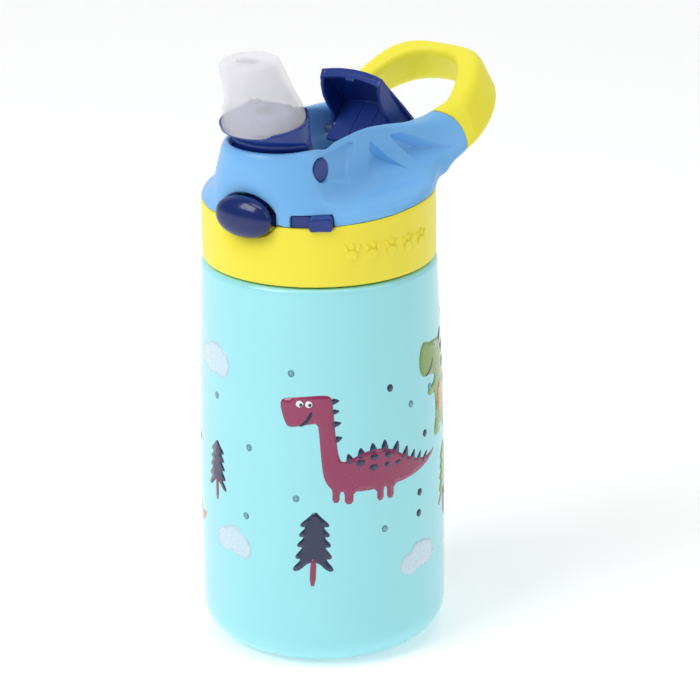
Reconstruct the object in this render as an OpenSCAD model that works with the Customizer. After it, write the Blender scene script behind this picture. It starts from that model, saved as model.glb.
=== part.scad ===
// Kids water bottle: a double-walled steel bottle with a screw-on lid. The lid has a folding
// silicone spout, a sprung cover over it, a push button, a sliding lock and a carrying loop.
// Bottle frame: +Z up, origin at the centre of the base, button towards -Y, loop towards +Y.
// The lid's modules use the lid frame, whose origin is on the same axis at the bottle's mouth.

/* [Bottle] */
// Outer radius of the straight lower wall
body_r = 36; // [35.5:0.1:36.5]
// Height of the body's shoulder, where the collar begins
shoulder_z = 116; // [112:0.5:120]
// Wall thickness of the outer shell
shell_t = 0.8; // [0.6:0.1:1]
// Radius of the rolled edge around the base
base_edge_r = 10; // [8:0.5:11]

/* [Neck and thread] */
// Outer radius of the neck
neck_r = 29.6; // [29.4:0.1:29.8]
// Height of the neck above the shoulder
neck_h = 14; // [14:0.5:15]
// Lead of the screw thread
pitch = 4; // [3.8:0.1:4.2]

/* [Lid] */
// Outer radius of the collar
collar_r = 33.8; // [33.7:0.1:34]
// Half the width of the space between the two wings
trough_w = 14.4; // [14.3:0.1:14.6]
// Half the width over the two wings
wing_w = 17.5; // [17.3:0.1:17.8]
// Radius of the cover's steel pin
pin_r = 1.25; // [1:0.05:1.4]
// Radius of the spout carrier's trunnions
trunnion_r = 3.4; // [3.2:0.1:3.6]

/* [Carrying loop] */
// Half the width over the loop
loop_w = 24; // [23.5:0.5:25]
// Distance from the bottle's axis to the loop's far side, at the middle of the band
loop_y = 65.6; // [64:0.2:67]
// Thickness of the loop
loop_t = 5; // [4.5:0.25:5.5]
// Outward lean of the band towards its lower edge, per millimetre of height
loop_lean = 0.43; // [0.35:0.01:0.45]

/* [Hidden] */
$fn = 64;
mouth_z = shoulder_z + neck_h;
shoulder_r = body_r - 1.8;
straight_z = 52;
base_hole_r = 24;
liner_r = 32;
liner_t = 0.6;
neck_t = 1;
collar_low = -13.6;
thread_bore = neck_r + 1.8;
run_gap = 0.06;
// spout hinge and cover hinge, as [y, z] in the lid frame
spout_c = [-20, 18.5];
cover_c = [23, 16];
drum_r = 9.8;
deck_z = 1.4;
deck_t = 2;
skirt_r = 32.2;
seam_z = 5.55;
seam_slope = 3.15;
button_z = 5.7;
button_travel = 2;
// height of the neck thread's start in the lid frame
thread_z = -9.5;
// the band: where the loop is widest, the angle of its roots in plan, half its height, its climb towards
// the far side and the height of its middle at y = root_y
ring_y = 23.7;
root_a = 5.5;
band_h = 6.6;
band_climb = 0.435;
root_y = 36;
root_z = 17.4;

// Shape helpers ------------------------------------------------------------------------------

// points of an arc in the plane, from angle a to angle b
function arc(c, r, a, b, n = 8) =
    [for (i = [0:n]) c + r * [cos(a + (b - a) * i / n), sin(a + (b - a) * i / n)]];

// points of an ellipse in the plane
function ellipse(a, b, n = 36) = [for (i = [0:n - 1]) [a * cos(360 * i / n), b * sin(360 * i / n)]];

// rounded loop in plan: from the +X root round the far side to the -X root
function loop_half(w, y1, n = 40) =
    [for (i = [0:n]) let (t = root_a + (180 - 2 * root_a) * i / n)
        [w * sign(cos(t)) * pow(abs(cos(t)), 0.6), ring_y + (y1 - ring_y) * pow(sin(t), 0.6)]];

// radius of the body's outer wall between the straight part and the shoulder
function taper_r(u) = body_r - (body_r - shoulder_r) * pow(u, 1.3);

// an outline in the YZ plane, extruded along X between x0 and x1
module along_x(x0, x1) {
    translate([x0, 0, 0]) rotate([90, 0, 90]) linear_extrude(x1 - x0) children();
}

// the same piece on both sides of the plane x = 0
module both_sides() {
    children();
    mirror([1, 0, 0]) children();
}

module lid_frame() {
    translate([0, 0, mouth_z]) children();
}

// a shaft along X from x0 to x1 with its centre at c = [y, z]
module shaft_x(c, r, x0, x1) {
    translate([x0, c[0], c[1]]) rotate([0, 90, 0]) cylinder(r = r, h = x1 - x0);
}

// an elliptical disc, tipped about X so that its front is low
module oval(y, z, a, b, tip, t = 0.2) {
    translate([0, y, z]) rotate([tip, 0, 0]) linear_extrude(t) polygon(ellipse(a, b));
}

// a thread of trapezoid section wound round Z: root radius, crest radius, turns, first height
module thread(root, crest, turns, z0, steps = 32) {
    n = floor(turns * steps);
    wide = pitch * 0.27;
    thin = pitch * 0.11;
    ring = [[root, -wide], [crest, -thin], [crest, thin], [root, wide]];
    order = root < crest ? [0, 1, 2, 3] : [3, 2, 1, 0];
    points = [for (i = [0:n]) for (k = order) let (a = 360 * i / steps)
        [ring[k][0] * cos(a), ring[k][0] * sin(a), z0 + ring[k][1] + pitch * i / steps]];
    sides = [for (i = [0:n - 1]) for (k = [0:3]) let (m = (k + 1) % 4)
        [4 * i + k, 4 * i + m, 4 * i + 4 + m, 4 * i + 4 + k]];
    polyhedron(points, concat(sides, [[3, 2, 1, 0]], [[4 * n, 4 * n + 1, 4 * n + 2, 4 * n + 3]]));
}

// a coil spring wound round Z from the height 0, with a straight leg at each end:
// coil radius, wire radius, turns, lead and the length of the legs
module coil(r, wire, turns, lead, leg = 0.5, steps = 16, sides = 6) {
    n = floor(turns * steps);
    path = [for (i = [-1:n + 1]) let (k = min(max(i, 0), n), a = 360 * k / steps)
        [a, lead * k / steps, leg * (i - k)]];
    points = [for (p = path) for (k = [0:sides - 1]) let (b = 360 * k / sides, q = r + wire * cos(b))
        [q * cos(p[0]) - p[2] * sin(p[0]), q * sin(p[0]) + p[2] * cos(p[0]), p[1] + wire * sin(b)]];
    last = len(path) - 1;
    walls = [for (i = [0:last - 1]) for (k = [0:sides - 1]) let (m = (k + 1) % sides)
        [sides * i + k, sides * i + m, sides * (i + 1) + m, sides * (i + 1) + k]];
    polyhedron(points, concat(walls, [[for (k = [sides - 1:-1:0]) k]],
        [[for (k = [0:sides - 1]) sides * last + k]]));
}

// Bottle -------------------------------------------------------------------------------------

// outline of the outer wall, drawn in by t from the outside
function wall(t) = concat(
    [[base_hole_r, t]],
    arc([body_r - base_edge_r, base_edge_r], base_edge_r - t, -90, 0),
    [for (i = [0:6]) let (u = i / 6)
        [taper_r(u) - t, straight_z + u * (shoulder_z - 1.5 - straight_z)]],
    [[shoulder_r - 1.5, shoulder_z - t], [neck_r, shoulder_z - t]]);

module outer_shell() {
    inside = wall(shell_t);
    color([0.66, 0.95, 0.98]) rotate_extrude($fn = 96)
        polygon(concat(wall(0), [for (i = [len(inside) - 1:-1:0]) inside[i]]));
}

module inner_liner() {
    color("silver") {
        rotate_extrude($fn = 96) difference() {
            polygon(concat([[0, 5.4]], arc([liner_r - 8, 13.4], 8, -90, 0),
                [[liner_r, shoulder_z - 8], [neck_r, shoulder_z - 3], [neck_r, mouth_z], [0, mouth_z]]));
            polygon(concat([[-1, 5.4 + liner_t]], arc([liner_r - 8, 13.4], 8 - liner_t, -90, 0),
                [[liner_r - liner_t, shoulder_z - 8.2], [neck_r - neck_t, shoulder_z - 3.2],
                [neck_r - neck_t, mouth_z + 1], [-1, mouth_z + 1]]));
        }
        thread(neck_r - 0.4, neck_r + 1.4, 1.75, mouth_z + thread_z);
    }
}

module base_plate() {
    color("silver") rotate_extrude($fn = 96)
        polygon([[0, 1.2], [15, 1.2], [18, 0.4], [base_hole_r, 0.4], [base_hole_r, 1.2],
            [18.4, 1.2], [15.4, 2], [0, 2]]);
}

// Lid: fixed pieces --------------------------------------------------------------------------

module lid_seal() {
    color("white") lid_frame() rotate_extrude($fn = 96)
        polygon([[27.8, 0], [30.2, 0], [30.2, deck_z], [27.8, deck_z]]);
}

// everything above the tilted seam between the collar and the housing
module above_seam() {
    translate([0, 0, seam_z]) rotate([seam_slope, 0, 0]) translate([-60, -60, 0]) cube([120, 140, 60]);
}

// flat round recess that the button sits in
module button_recess() {
    translate([0, -collar_r - 5, button_z]) rotate([-90, 0, 0]) cylinder(r = 12, h = 6.1);
}

// the hole for the button's oval stem
module button_hole(y1) {
    translate([0, -45, button_z]) rotate([-90, 0, 0]) linear_extrude(45 + y1) polygon(ellipse(8.4, 2.3));
}

// the slot that the lock's knob slides in, counted in degrees from the front towards +X
module slider_slot() {
    rotate([0, 0, -90 + 23.5]) translate([0, 0, 3.2]) rotate_extrude(angle = 22)
        translate([29, 0]) square([7, 4.4]);
}

module collar() {
    color([0.98, 0.93, 0.31]) lid_frame() {
        difference() {
            rotate_extrude($fn = 96)
                polygon([[thread_bore, collar_low + 0.4], [thread_bore + 0.4, collar_low],
                    [collar_r - 0.5, collar_low], [collar_r, collar_low + 0.5], [collar_r, 9], [skirt_r, 9],
                    [skirt_r, deck_z], [30.3, deck_z], [30.3, 0.9], [thread_bore, 0.9]]);
            above_seam();
            button_recess();
            button_hole(-29);
            slider_slot();
        }
        thread(thread_bore + 0.4, neck_r + 0.4, 1.5, thread_z - pitch / 2);
    }
}

module deck() {
    color("white") lid_frame() difference() {
        union() {
            translate([0, 0, deck_z]) cylinder(r = 31, h = deck_t, $fn = 96);
            translate([-7, -24, deck_z]) cube([14, 7.5, 7]);
            translate([0, spout_c[0], -10]) cylinder(r = 5.4, h = 10 + deck_z);
            translate([-2, -26.4, deck_z]) cube([4, 0.9, 5.8]);
        }
        shaft_x(spout_c, drum_r + 2.2, -4.6, 4.6);
        shaft_x(spout_c, drum_r + 0.5, -8, 8);
        translate([0, spout_c[0], -11]) cylinder(r = 3.5, h = 10);
        translate([0, spout_c[0], -2]) cylinder(r = 2.5, h = 12);
        translate([0, 12, -1]) cylinder(r = 1.6, h = 6);
        for (a = [0:60:300]) translate([0, 12, -1]) rotate([0, 0, a]) translate([3.4, 0, 0])
            cylinder(r = 0.7, h = 6);
    }
}

module vent_valve() {
    color("white") lid_frame() translate([0, 12, 0]) {
        translate([0, 0, deck_z - 0.7]) cylinder(r = 5, h = 0.7);
        translate([0, 0, deck_z - 0.1]) cylinder(r = 1.6, h = deck_t + 0.1);
        translate([0, 0, deck_z + deck_t]) cylinder(r1 = 2.2, r2 = 1.2, h = 1.4);
    }
}

module drum_seal() {
    color("white") lid_frame() difference() {
        intersection() {
            shaft_x(spout_c, drum_r + 2.2, -4.5, 4.5);
            translate([-4.5, -23.9, 5]) cube([9, 7.3, 10]);
        }
        shaft_x(spout_c, drum_r + run_gap, -5, 5);
        translate([0, spout_c[0], 0]) cylinder(r = 2.5, h = 20);
    }
}

module straw() {
    color("white") translate([0, spout_c[0], 9]) difference() {
        cylinder(r = 3.5, h = mouth_z - 10);
        translate([0, 0, -1]) cylinder(r = 2.5, h = mouth_z);
    }
}

// height of the wings' top edge, as a YZ outline down to the deck
module wing_side() {
    polygon([[-34, 3.4], [-34, 24.3], [-22, 24.8], [-15.5, 25.9], [-8.9, 26.6], [-2.2, 27.3], [2.3, 27.3],
        [6.8, 26.6], [16, 24.4], [20.6, 23.5], [27.6, 22.8], [36, 22.4], [36, 6], [33.4, 3.4]]);
}

// the loop's roots seen from the side, between the wings and the band
module root_side() {
    polygon([[2, 27.3], [6.8, 26.6], [16, 24.4], [20.6, 23.5], [27, 22.8], [31, 22.8], [36.8, 24.4], [36.8, 11.4],
        [32, 7.4], [24, 5.4], [2, 5]]);
}

// plan of a wing pair: parallel sides and a round front
module wing_plan(w) {
    translate([0, -16]) circle(r = w, $fn = 96);
    translate([-w, -16]) square([2 * w, 52]);
}

// one edge of the band: offset from the loop's middle outline by d, at the height h over the band's middle
function rail(d, h) = [for (p = loop_half(loop_w + d - loop_lean * h, loop_y + d - loop_lean * h))
    [p[0], p[1], root_z + band_climb * (p[1] - root_y) + h]];

// the carrying loop, drawn in by t on every side
module loop_ring(t = 0) {
    h = band_h - t;
    edges = [rail(-t, -h), rail(-t, h), rail(t - loop_t, h), rail(t - loop_t, -h)];
    last = len(edges[0]) - 1;
    points = [for (i = [0:last]) for (edge = edges) edge[i]];
    walls = [for (i = [0:last - 1]) for (k = [0:3]) let (m = (k + 1) % 4)
        [4 * i + k, 4 * i + m, 4 * i + 4 + m, 4 * i + 4 + k]];
    polyhedron(points, concat(walls, [[3, 2, 1, 0]], [[4 * last, 4 * last + 1, 4 * last + 2, 4 * last + 3]]));
}

// the flare that joins a wing to the loop
module flare() {
    hull() {
        translate([trough_w, 8, 5]) cube([wing_w - trough_w + 0.3, 4, 22]);
        translate([trough_w + 0.4, 20, 5.4]) cube([5.4, 4, 18]);
        translate([0, 34.6, 0]) rotate([-90, 0, 0]) linear_extrude(1.6)
            polygon([[20.6, -24], [21.8, -24], [27, -11], [25.4, -11], [16.6, -23]]);
    }
}

module loop_band() {
    intersection() {
        along_x(-30, 30) root_side();
        both_sides() flare();
    }
    loop_ring();
}

// the seam between the housing's loop roots and the grip, and the grip's tenons
module behind_seam() {
    along_x(-30, 30) polygon([[29, 34], [32.6, 24.6], [36.6, 21.8], [38.4, 18.8], [38.8, 16], [38.4, 13],
        [37, 9], [80, 3], [80, 60], [29, 60]]);
}

module tenons() {
    intersection() {
        loop_ring(1.4);
        along_x(-30, 30) polygon([[35.4, 14], [48, 19.4], [48, 25.4], [35.4, 20.6]]);
    }
}

// low dome that joins the collar's round top to the wings
module shoulder() {
    rotate_extrude($fn = 96) polygon([[0, deck_z], [skirt_r, deck_z], [skirt_r, 3], [collar_r, 3],
        [collar_r, 6.8], [32.6, 8.2], [17, 12.5], [0, 12.5]]);
    hull() {
        translate([0, 0, 3]) linear_extrude(5) polygon(arc([0, 0], collar_r, 201, 339, 36));
        translate([0, 0, 23.6]) linear_extrude(0.7) polygon(arc([0, -16], wing_w - 0.2, 170, 370, 36));
    }
    intersection() {
        translate([0, 0, 3]) cylinder(r = collar_r, h = 13, $fn = 96);
        translate([-wing_w, 26, 0]) cube([2 * wing_w, 10, 20]);
    }
}

// space under the shoulder, outside the wings
module under_shoulder() {
    difference() {
        rotate_extrude($fn = 96) polygon([[0, 0], [31, 0], [31, deck_z + deck_t], [30, deck_z + deck_t],
            [30, 6.4], [16, 10.4], [0, 10.4]]);
        translate([0, 0, deck_z + deck_t]) linear_extrude(30) wing_plan(wing_w);
    }
}

module wing_pockets() {
    both_sides() {
        along_x(wing_w - 1.6, 40) polygon([[-20.6, 22.4], [-5, 23], [-9, 12.5], [-18.9, 15.3]]);
        along_x(wing_w - 1.6, 40) polygon([[3, 22], [-0.5, 12.6], [13.4, 12]]);
        along_x(wing_w - 1.6, 40) polygon([[11.5, 21.6], [19, 20.6], [29, 16.2], [20, 12.2]]);
    }
}

// everything that lies above the seam or inside the collar's bore
module lid_room() {
    above_seam();
    cylinder(r = skirt_r, h = 40, $fn = 96);
}

// the space between the wings: round at the front, open over the low rear wall
module trough() {
    translate([0, 0, deck_z - 1]) linear_extrude(40) intersection() {
        union() {
            translate([0, -16]) circle(r = trough_w + 0.6, $fn = 96);
            translate([-trough_w, -16]) square([2 * trough_w, 45.5]);
        }
        square([2 * trough_w, 120], center = true);
    }
    translate([-trough_w, 28, 13.5]) cube([2 * trough_w, 22, 30]);
    difference() {
        translate([-trough_w, 30, 0]) cube([2 * trough_w, 20, 30]);
        cylinder(r = collar_r, h = 40, $fn = 96);
    }
}

// room inside the front wall for the button's flange and the lock's slider
module latch_pockets() {
    translate([-9, -31.6, 2.4]) cube([18, 8, 4.8]);
    translate([-6.2, -31.6, 2.4]) cube([12.4, 8, 9.6]);
    rotate([0, 0, -90 + 12]) rotate_extrude(angle = 40) translate([25.4, 2]) square([6.2, 6.2]);
}

module housing() {
    color([0.53, 0.79, 0.98]) lid_frame() {
        difference() {
            intersection() {
                union() {
                    difference() {
                        shoulder();
                        under_shoulder();
                    }
                    intersection() {
                        translate([0, 0, 3.4]) linear_extrude(40) wing_plan(wing_w);
                        along_x(-20, 20) wing_side();
                    }
                    difference() {
                        loop_band();
                        behind_seam();
                    }
                }
                lid_room();
            }
            trough();
            button_recess();
            button_hole(-28);
            latch_pockets();
            slider_slot();
            wing_pockets();
            shaft_x(spout_c, trunnion_r + run_gap, -30, 30);
            shaft_x(cover_c, pin_r, -16.6, 16.6);
        }
        tenons();
    }
}

module handle_grip() {
    color([0.98, 0.93, 0.31]) lid_frame() difference() {
        intersection() {
            loop_band();
            behind_seam();
        }
        tenons();
    }
}

// Lid: moving pieces -------------------------------------------------------------------------

module spout_carrier() {
    color([0.12, 0.2, 0.39]) lid_frame() difference() {
        union() {
            translate([0, spout_c[0], spout_c[1]]) rotate([0, 90, 0]) rotate_extrude()
                polygon([[0, -10.2], [6.2, -10.2], [8.2, -7.6], [drum_r, -4.5], [drum_r, 4.5], [8.2, 7.6],
                    [6.2, 10.2], [0, 10.2]]);
            shaft_x(spout_c, trunnion_r, -16.9, 16.9);
            difference() {
                hull() {
                    oval(-24.4, 31.2, 13.8, 11.3, 14);
                    oval(-22.2, 23, 10.8, 6.6, 4);
                }
                hull() {
                    oval(-24.5, 31.5, 12.9, 10.4, 14);
                    oval(-23.2, 26.8, 11.4, 8, 9);
                }
            }
            translate([0, -21.5, 24]) cylinder(r1 = 5, r2 = 4, h = 12);
        }
        translate([0, spout_c[0], 0]) cylinder(r = 2.4, h = 50);
    }
}

module spout() {
    color([0.9, 0.9, 0.95]) lid_frame() difference() {
        union() {
            hull() {
                oval(-24.5, 31.5, 12.8, 10.3, 14);
                oval(-23.3, 27.4, 11.3, 7.9, 9);
            }
            hull() {
                oval(-24.5, 31.5, 12.8, 10.3, 14);
                oval(-25.2, 36, 11.6, 10.2, 10);
            }
            hull() {
                oval(-25.2, 36, 11.6, 10.2, 10);
                oval(-26.4, 40, 9.6, 10, 8);
            }
            hull() {
                oval(-26.4, 40, 9.6, 10, 8);
                oval(-30.4, 49, 8.6, 8.6, 6);
                oval(-30.6, 49.8, 7.6, 7.6, 6);
            }
        }
        hull() {
            oval(-21.5, 24, 5, 5, 0);
            oval(-21.5, 35.9, 4, 4, 0);
        }
        hull() {
            oval(-22.5, 35.9, 4, 4, 0);
            oval(-26.4, 40, 6.4, 6.4, 8);
            oval(-30, 48, 5.6, 5.6, 6);
        }
        translate([0, -30.5, 46]) rotate([6, 0, 0]) linear_extrude(6) polygon(ellipse(3.2, 2.4));
    }
}

module spout_spring() {
    color("silver") lid_frame() both_sides() translate([10.65, spout_c[0], spout_c[1]])
        rotate([0, 90, 0]) coil(3.9, 0.35, 1.5, 0.75, 3);
}

// side wall of the cover with the arm that reaches its hinge
module cover_wall() {
    polygon(concat([[17.6, 36.6], [36, 18.2], [33.6, 15.8], [26.5, 13.5]],
        arc(cover_c, 2.7, -60, -180, 6), [[20, 21], [17.6, 25.4], [15.9, 29.4], [14.6, 33.2], [15.2, 36.4]]));
}

module cover() {
    color([0.1, 0.18, 0.37]) lid_frame() difference() {
        union() {
            both_sides() along_x(9.9, 11.1) cover_wall();
            along_x(-11.9, 11.9) polygon([[17.2, 37.2], [36.3, 18.1], [35.2, 17], [16, 36.1], [15.7, 36.8]]);
            along_x(-11.1, 11.1) polygon([[15.7, 36.8], [17, 35.2], [15.6, 33.9], [14.7, 35.4]]);
            along_x(-9.9, 9.9) polygon([[26.8, 25.3], [17, 15.5], [18, 14.5], [27.8, 24.3]]);
            both_sides() shaft_x(cover_c, 2.7, 5, 11.1);
            both_sides() along_x(5, 9.9) polygon([[17.5, 15], [22, 18.6], [25, 15], [22.5, 13.5]]);
        }
        shaft_x(cover_c, pin_r + run_gap, -12, 12);
    }
}

module cover_pin() {
    color("silver") lid_frame() shaft_x(cover_c, pin_r, -16.6, 16.6);
}

module cover_spring() {
    color("silver") lid_frame() translate([-3.2, cover_c[0], cover_c[1]])
        rotate([135, 0, 0]) rotate([0, 90, 0]) coil(1.85, 0.35, 7.25, 0.85, 6.9);
}

module button() {
    color([0.12, 0.2, 0.39]) lid_frame() {
        translate([0, 0, button_z]) rotate([90, 0, 0]) hull() {
            translate([0, 0, 32.9 + button_travel]) linear_extrude(0.6) polygon(ellipse(10, 6.2));
            translate([0, 0, 34.4 + button_travel]) linear_extrude(0.6) polygon(ellipse(8.6, 5));
            translate([0, 0, 35.4 + button_travel]) linear_extrude(0.6) polygon(ellipse(5, 2.8));
        }
        translate([0, -29.8, button_z]) rotate([90, 0, 0]) linear_extrude(3.3 + button_travel)
            polygon(ellipse(8.2, 2.1));
        translate([-8.4, -30.9, 3.7]) cube([16.8, 1.2, 3.2]);
        translate([-5.8, -30.9, 3.7]) cube([11.6, 1.2, 7.7]);
    }
}

module button_spring() {
    color("silver") lid_frame() translate([0, -26.7, 5.4]) rotate([90, 0, 0]) coil(1.3, 0.25, 3.25, 0.8);
}

module lock_slider() {
    color([0.12, 0.2, 0.39]) lid_frame() {
        rotate([0, 0, -90 + 33.6]) translate([0, 0, 3.6]) rotate_extrude(angle = 10.4)
            translate([30, 0]) square([5.3, 3.6]);
        rotate([0, 0, -90 + 28]) translate([0, 0, 3.6]) rotate_extrude(angle = 21)
            translate([30, 0]) square([1.2, 4.4]);
        rotate([0, 0, -90 + 23]) translate([0, 0, 3.8]) rotate_extrude(angle = 12)
            translate([26.2, 0]) square([1.4, 1.8]);
        rotate([0, 0, -90 + 30]) translate([0, 0, 3.8]) rotate_extrude(angle = 5)
            translate([26.2, 0]) square([4.2, 1.8]);
    }
}

outer_shell();
inner_liner();
base_plate();
lid_seal();
collar();
deck();
vent_valve();
housing();
handle_grip();
spout_carrier();
spout();
drum_seal();
straw();
spout_spring();
cover();
cover_pin();
cover_spring();
button();
button_spring();
lock_slider();
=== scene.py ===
"""Looks of the kids water bottle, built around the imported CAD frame. Lengths are in millimetres
until a mesh is made. The lid's shapes are written from the bottle's mouth upwards, as in the CAD."""

import math

import bpy
import numpy as np
from mathutils import Matrix, Vector
from mathutils.geometry import delaunay_2d_cdt


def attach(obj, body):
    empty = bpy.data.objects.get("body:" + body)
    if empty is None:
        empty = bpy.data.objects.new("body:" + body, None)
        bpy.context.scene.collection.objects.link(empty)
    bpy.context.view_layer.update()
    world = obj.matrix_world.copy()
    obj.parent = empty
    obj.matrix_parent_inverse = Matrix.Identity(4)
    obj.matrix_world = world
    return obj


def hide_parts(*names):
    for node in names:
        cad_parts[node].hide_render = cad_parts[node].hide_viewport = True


MM = 0.001
MOUTH_Z = 130.0

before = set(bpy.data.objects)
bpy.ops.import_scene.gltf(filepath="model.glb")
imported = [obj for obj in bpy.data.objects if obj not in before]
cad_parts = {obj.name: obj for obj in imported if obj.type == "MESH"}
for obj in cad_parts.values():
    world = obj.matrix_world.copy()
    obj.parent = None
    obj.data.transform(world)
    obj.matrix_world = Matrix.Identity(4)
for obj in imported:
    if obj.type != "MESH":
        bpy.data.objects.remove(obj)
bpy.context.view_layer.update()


# Materials ----------------------------------------------------------------------------------


def linear(rgb):
    """sRGB from 0 to 255 as linear colour."""
    out = []
    for c in rgb:
        c = c / 255
        out.append(c / 12.92 if c <= 0.04045 else ((c + 0.055) / 1.055) ** 2.4)
    return (*out, 1.0)


def material(name, rgb, rough, coat=0.0, bump=0.02, scale=900.0, tint=0.05, rough_span=0.06, **sockets):
    """A procedural finish: fine noise moves the colour, the roughness and the surface a little."""
    mat = bpy.data.materials.new(name)
    mat.use_nodes = True
    tree = mat.node_tree
    shader = tree.nodes["Principled BSDF"]
    coords = tree.nodes.new("ShaderNodeTexCoord")

    def noise(size, detail):
        node = tree.nodes.new("ShaderNodeTexNoise")
        node.inputs["Scale"].default_value = size
        node.inputs["Detail"].default_value = detail
        tree.links.new(coords.outputs["Object"], node.inputs["Vector"])
        return node

    def spread(source, low, high):
        node = tree.nodes.new("ShaderNodeMapRange")
        node.inputs["From Min"].default_value = 0.3
        node.inputs["From Max"].default_value = 0.7
        node.inputs["To Min"].default_value = low
        node.inputs["To Max"].default_value = high
        tree.links.new(source.outputs["Fac"], node.inputs["Value"])
        return node

    cloudy, fine = noise(35.0, 3.0), noise(scale, 2.0)
    colour = tree.nodes.new("ShaderNodeMix")
    colour.data_type = "RGBA"
    base = linear(rgb)
    colour.inputs["A"].default_value = base
    colour.inputs["B"].default_value = (*(c * (1 - tint) for c in base[:3]), 1.0)
    share = spread(cloudy, 0.0, 1.0)
    tree.links.new(share.outputs["Result"], colour.inputs["Factor"])
    tree.links.new(colour.outputs["Result"], shader.inputs["Base Color"])
    roughness = spread(fine, rough, rough + rough_span)
    tree.links.new(roughness.outputs["Result"], shader.inputs["Roughness"])
    relief = tree.nodes.new("ShaderNodeBump")
    relief.inputs["Strength"].default_value = bump
    relief.inputs["Distance"].default_value = 0.00004
    tree.links.new(fine.outputs["Fac"], relief.inputs["Height"])
    tree.links.new(relief.outputs["Normal"], shader.inputs["Normal"])
    shader.inputs["Coat Weight"].default_value = coat
    shader.inputs["Coat Roughness"].default_value = 0.05
    for socket, value in sockets.items():
        shader.inputs[socket.replace("_", " ")].default_value = value
    return mat


def brushed(name, rgb, rough, stretch=(1.0, 1.0, 60.0)):
    """Brushed or drawn metal: noise stretched along the grain drives the roughness."""
    mat = bpy.data.materials.new(name)
    mat.use_nodes = True
    tree = mat.node_tree
    shader = tree.nodes["Principled BSDF"]
    coords = tree.nodes.new("ShaderNodeTexCoord")
    mapping = tree.nodes.new("ShaderNodeMapping")
    mapping.inputs["Scale"].default_value = stretch
    grain = tree.nodes.new("ShaderNodeTexNoise")
    grain.inputs["Scale"].default_value = 40.0
    grain.inputs["Detail"].default_value = 4.0
    span = tree.nodes.new("ShaderNodeMapRange")
    span.inputs["To Min"].default_value = rough
    span.inputs["To Max"].default_value = rough + 0.25
    tree.links.new(coords.outputs["Object"], mapping.inputs["Vector"])
    tree.links.new(mapping.outputs["Vector"], grain.inputs["Vector"])
    tree.links.new(grain.outputs["Fac"], span.inputs["Value"])
    tree.links.new(span.outputs["Result"], shader.inputs["Roughness"])
    shader.inputs["Base Color"].default_value = linear(rgb)
    shader.inputs["Metallic"].default_value = 1.0
    return mat


PAINT = material("paint_sky", (163, 238, 246), 0.22, rough_span=0.02, coat=0.4, bump=0.003, tint=0.02)
YELLOW = material("plastic_yellow", (255, 240, 62), 0.34, bump=0.03, tint=0.03)
GRIP = material("grip_yellow", (255, 244, 62), 0.42, bump=0.04, tint=0.03)
BLUE = material("plastic_blue", (122, 190, 248), 0.32, bump=0.03, tint=0.03)
NAVY = material("plastic_navy", (24, 56, 138), 0.28, rough_span=0.02, bump=0.004, tint=0.08)
NAVY_DEEP = material("plastic_navy_gloss", (14, 38, 104), 0.16, rough_span=0.01, bump=0.002, tint=0.08)
SILICONE = material("silicone_clear", (250, 248, 254), 0.3, bump=0.003, tint=0.02, Alpha=0.35)
WHITE = material("plastic_white", (232, 234, 236), 0.35, tint=0.03)
SEAL = material("silicone_seal", (236, 236, 238), 0.5, tint=0.03)
STRAW = material("straw", (226, 232, 238), 0.3, tint=0.03)
STEEL = brushed("steel", (196, 198, 200), 0.22)
SPRING = brushed("spring_steel", (190, 190, 194), 0.16, (30.0, 1.0, 1.0))


# Mesh and curve tools -----------------------------------------------------------------------


def make(name, verts, faces, body, mat, node=None, normals=None):
    """A piece from vertices in millimetres, riding on a body and standing for a CAD node."""
    mesh = bpy.data.meshes.new(name)
    mesh.from_pydata((np.asarray(verts, float) * MM).tolist(), [], [list(map(int, f)) for f in faces])
    mesh.polygons.foreach_set("use_smooth", [True] * len(mesh.polygons))
    mesh.materials.append(mat)
    if normals is not None:
        mesh.normals_split_custom_set_from_vertices(normals.tolist())
    obj = bpy.data.objects.new(name, mesh)
    bpy.context.scene.collection.objects.link(obj)
    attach(obj, body)
    if node:
        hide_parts(node)
    return obj


def curve(points, n=5, closed=False):
    """Catmull-Rom curve through the points, n steps to a span."""
    p = [np.array(q, float) for q in points]
    m = len(p)
    out = []
    for i in range(m if closed else m - 1):
        if closed:
            a, b, c, d = (p[(i + k) % m] for k in (-1, 0, 1, 2))
        else:
            b, c = p[i], p[i + 1]
            a, d = p[i - 1] if i else 2 * b - c, p[i + 2] if i + 2 < m else 2 * c - b
        for t in np.arange(n) / n:
            out.append(0.5 * (2 * b + (c - a) * t + (2 * a - 5 * b + 4 * c - d) * t**2 + (3 * b - a - 3 * c + d) * t**3))
    if not closed:
        out.append(p[-1])
    return [tuple(q) for q in out]


def arc(cu, cv, r, a, b, n=12):
    """Points of an arc in the plane, from a to b degrees."""
    return [
        (cu + r * math.cos(math.radians(t)), cv + r * math.sin(math.radians(t)))
        for t in np.linspace(a, b, n + 1)
    ]


def chaikin(points, times=2):
    """The outline with its corners cut round."""
    for _ in range(times):
        nxt = points[1:] + points[:1]
        points = [
            (p[0] * (1 - t) + q[0] * t, p[1] * (1 - t) + q[1] * t)
            for p, q in zip(points, nxt)
            for t in (0.25, 0.75)
        ]
    return points


# Fields: functions that are negative inside a shape -----------------------------------------


def smin(a, b, k):
    """Union with a fillet."""
    h = np.maximum(k - np.abs(a - b), 0)
    return np.minimum(a, b) - h * h / (4 * k)


def smax(a, b, k):
    """Intersection with a rounded edge."""
    return -smin(-a, -b, k)


def step(v, low, high):
    t = np.clip((v - low) / (high - low), 0, 1)
    return t * t * (3 - 2 * t)


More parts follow.
